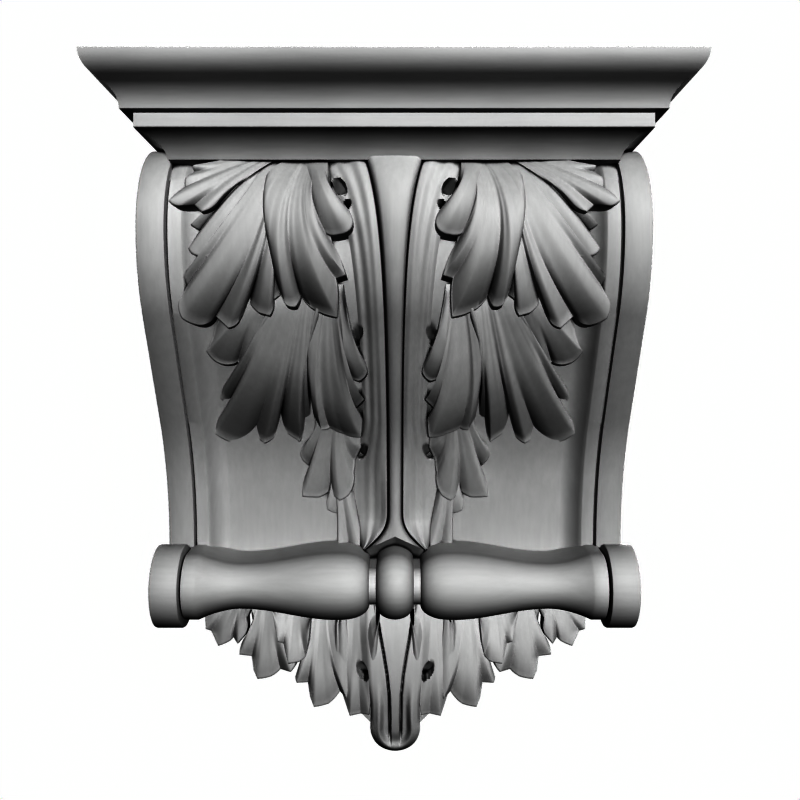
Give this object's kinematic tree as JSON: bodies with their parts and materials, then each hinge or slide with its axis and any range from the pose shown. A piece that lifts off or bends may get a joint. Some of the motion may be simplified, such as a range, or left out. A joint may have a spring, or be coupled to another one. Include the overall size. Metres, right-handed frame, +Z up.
{
  "type": "corbel bracket",
  "caption": "S-shaped wall corbel carved with acanthus leaves between raised side rails, with a turned roller across its foot and a flat-topped crown moulding.",
  "frame": {"origin": "on the flat back, on the centre line, 125 mm below the top of the side rails", "axes": "+Z up, +Y into the wall, the carved front faces -Y, +X to the viewer's right"},
  "size_m": [0.2778, 0.16, 0.355],
  "materials": {
    "crown_moulding": "matt grey painted wood",
    "carved_body": "matt grey painted wood",
    "roller": "matt grey painted wood"
  },
  "bodies": {
    "root": {"crown_moulding": "crown_moulding", "carved_body": "carved_body", "roller": "roller"}
  },
  "joints": []
}
